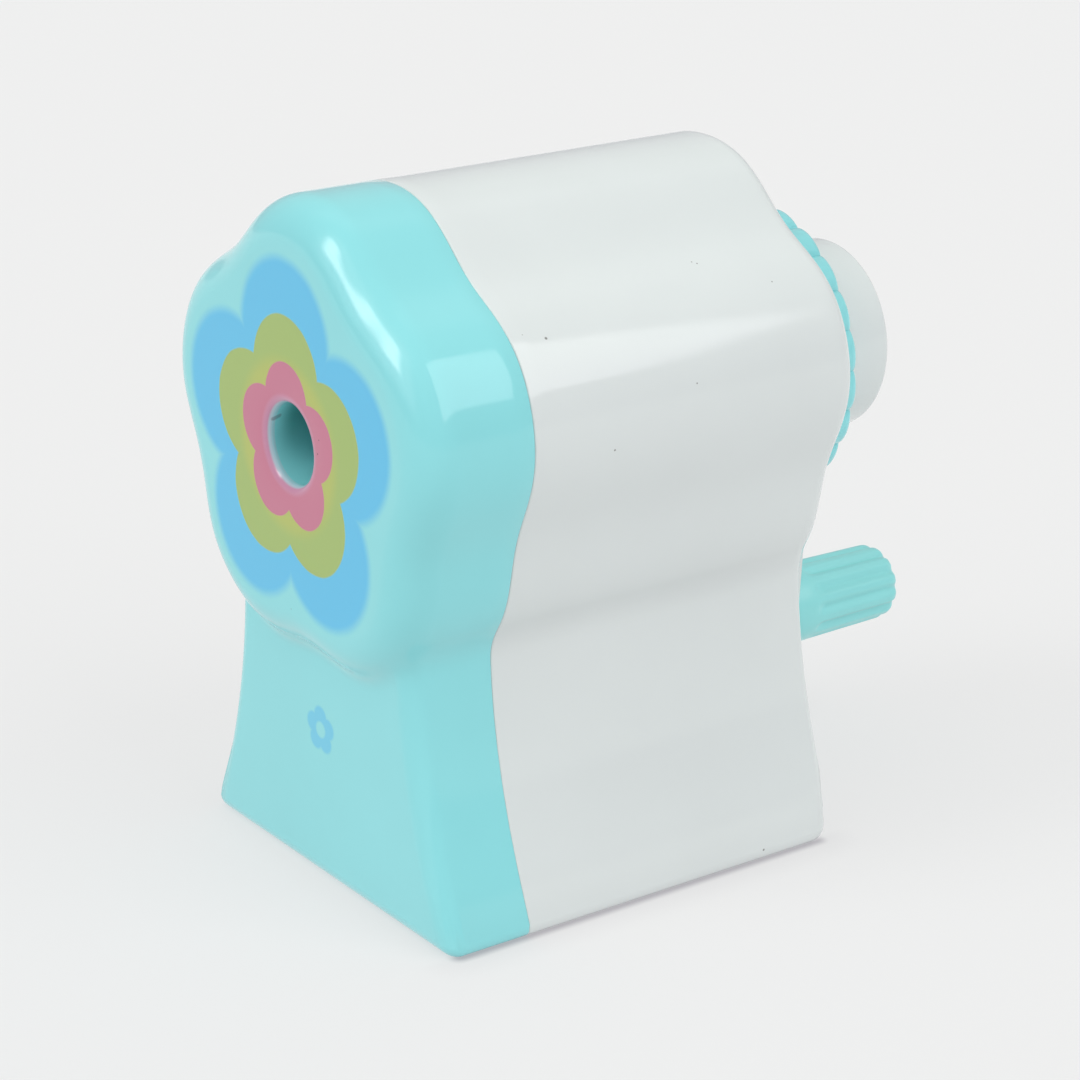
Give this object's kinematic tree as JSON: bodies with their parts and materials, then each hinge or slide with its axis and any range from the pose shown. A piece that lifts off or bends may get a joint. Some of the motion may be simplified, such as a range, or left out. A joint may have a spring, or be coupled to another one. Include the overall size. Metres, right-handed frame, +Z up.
{
  "type": "pencil sharpener",
  "caption": "Hand-crank desktop pencil sharpener with a five-petal flower head, flared base, scalloped release ring and fluted crank knob.",
  "frame": {"origin": "centre of the body's base, on the surface it stands on", "axes": "+Y from the flower face to the crank, along the crank's axis; +Z up; +X to the right seen from the front"},
  "size_m": [0.052, 0.0843, 0.0787],
  "materials": {
    "aqua_plastic": "glossy moulded ABS",
    "white_plastic": "glossy moulded ABS",
    "natural_nylon": "moulded nylon",
    "tool_steel": "ground tool steel",
    "zinc_steel": "bright zinc plated"
  },
  "bodies": {
    "housing": {"front_shell": "aqua_plastic", "rear_shell": "white_plastic", "front_bush": "aqua_plastic"},
    "unit": {"gear_seat": "natural_nylon", "ring_gear": "natural_nylon"},
    "grip_ring": {"lock_ring": "aqua_plastic"},
    "crank": {"cutter_carrier": "aqua_plastic", "cutter_pin": "zinc_steel", "pin_clip": "zinc_steel", "drive_shaft": "zinc_steel", "shaft_pin": "zinc_steel", "thrust_washer": "zinc_steel", "rear_washer": "zinc_steel", "crank_arm": "white_plastic", "crank_screw": "zinc_steel", "screw_washer": "zinc_steel", "hub_cap": "white_plastic", "handle_pin": "zinc_steel"},
    "cutter": {"helical_cutter": "tool_steel", "cutter_pinion": "natural_nylon"},
    "knob": {"handle_grip": "aqua_plastic"}
  },
  "joints": [
    {"name": "unit_pull", "type": "slide", "parent": "housing", "child": "unit", "axis": [0, 1, 0], "range_m": [0, 0.055]},
    {"name": "lock_twist", "type": "hinge", "parent": "unit", "child": "grip_ring", "pos_m": [0, 0.031, 0.05215], "axis": [0, 1, 0], "range_deg": [0, 40]},
    {"name": "crank_turn", "type": "hinge", "parent": "unit", "child": "crank", "pos_m": [0, 0.0362, 0.05215], "axis": [0, 1, 0], "continuous": true},
    {"name": "cutter_spin", "type": "hinge", "parent": "crank", "child": "cutter", "pos_m": [0, 0.016, 0.05615], "axis": [0, 0.9816, -0.1908], "continuous": true},
    {"name": "knob_spin", "type": "hinge", "parent": "crank", "child": "knob", "pos_m": [0, 0.0459, 0.01843], "axis": [0, 1, 0], "continuous": true}
  ],
  "couplings": [
    {"joint": "cutter_spin", "follows": "crank_turn", "ratio": -1.8333}
  ]
}
